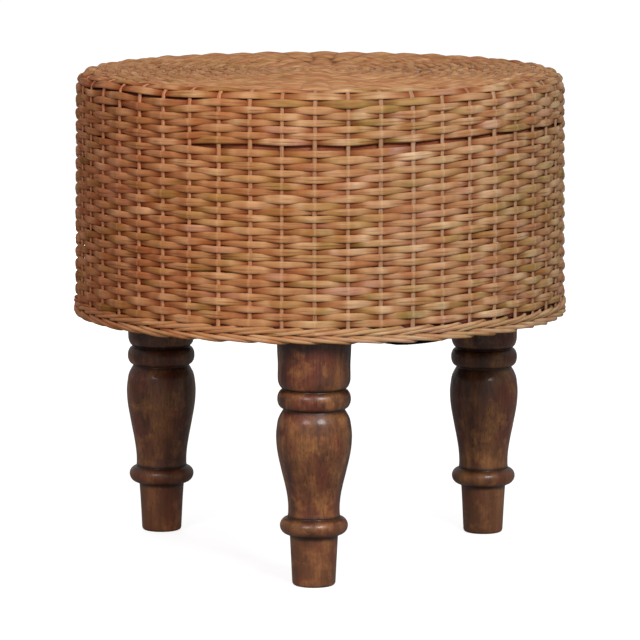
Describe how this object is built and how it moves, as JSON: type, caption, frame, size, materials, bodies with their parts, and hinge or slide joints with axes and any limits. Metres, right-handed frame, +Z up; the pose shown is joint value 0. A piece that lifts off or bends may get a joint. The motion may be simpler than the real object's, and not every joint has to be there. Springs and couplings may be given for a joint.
{
  "type": "mudda stool",
  "caption": "Low round drum stool of woven cane over a pole-and-board frame, with a plaited lower border and turned wooden legs.",
  "frame": {"origin": "on the floor, under the middle of the round drum", "axes": "+Z up through the middle of the seat; one leg stands on the -Y side, which is the front; +X is to the right seen from the front"},
  "size_m": [0.454, 0.454, 0.446],
  "materials": {
    "leg_wood": "dark brown stain under satin varnish, grain showing",
    "weave_cane": "natural honey-coloured round cane, thin clear lacquer",
    "border_cane": "natural honey-coloured round cane, thin clear lacquer",
    "pole_cane": "bare peeled cane pole",
    "board_wood": "bare plywood",
    "under_cloth": "black spun-bonded dust cloth",
    "fastener_steel": "zinc-plated steel"
  },
  "bodies": {
    "root": {"leg_1": "leg_wood", "leg_2": "leg_wood", "leg_3": "leg_wood", "hanger_bolt_1": "fastener_steel", "hanger_bolt_2": "fastener_steel", "hanger_bolt_3": "fastener_steel", "tee_nut_1": "fastener_steel", "tee_nut_2": "fastener_steel", "tee_nut_3": "fastener_steel", "under_cloth": "under_cloth", "base_board": "board_wood", "seat_board": "board_wood", "post_1": "pole_cane", "post_2": "pole_cane", "post_3": "pole_cane", "post_4": "pole_cane", "post_5": "pole_cane", "post_6": "pole_cane", "base_screw_1": "fastener_steel", "base_screw_2": "fastener_steel", "base_screw_3": "fastener_steel", "base_screw_4": "fastener_steel", "base_screw_5": "fastener_steel", "base_screw_6": "fastener_steel", "seat_screw_1": "fastener_steel", "seat_screw_2": "fastener_steel", "seat_screw_3": "fastener_steel", "seat_screw_4": "fastener_steel", "seat_screw_5": "fastener_steel", "seat_screw_6": "fastener_steel", "top_hoop": "pole_cane", "middle_hoop": "pole_cane", "bottom_hoop": "pole_cane", "top_hoop_nail_1": "fastener_steel", "top_hoop_nail_2": "fastener_steel", "top_hoop_nail_3": "fastener_steel", "top_hoop_nail_4": "fastener_steel", "top_hoop_nail_5": "fastener_steel", "top_hoop_nail_6": "fastener_steel", "middle_hoop_nail_1": "fastener_steel", "middle_hoop_nail_2": "fastener_steel", "middle_hoop_nail_3": "fastener_steel", "middle_hoop_nail_4": "fastener_steel", "middle_hoop_nail_5": "fastener_steel", "middle_hoop_nail_6": "fastener_steel", "bottom_hoop_nail_1": "fastener_steel", "bottom_hoop_nail_2": "fastener_steel", "bottom_hoop_nail_3": "fastener_steel", "bottom_hoop_nail_4": "fastener_steel", "bottom_hoop_nail_5": "fastener_steel", "bottom_hoop_nail_6": "fastener_steel", "woven_side": "weave_cane", "woven_top": "weave_cane", "border": "border_cane"}
  },
  "joints": []
}
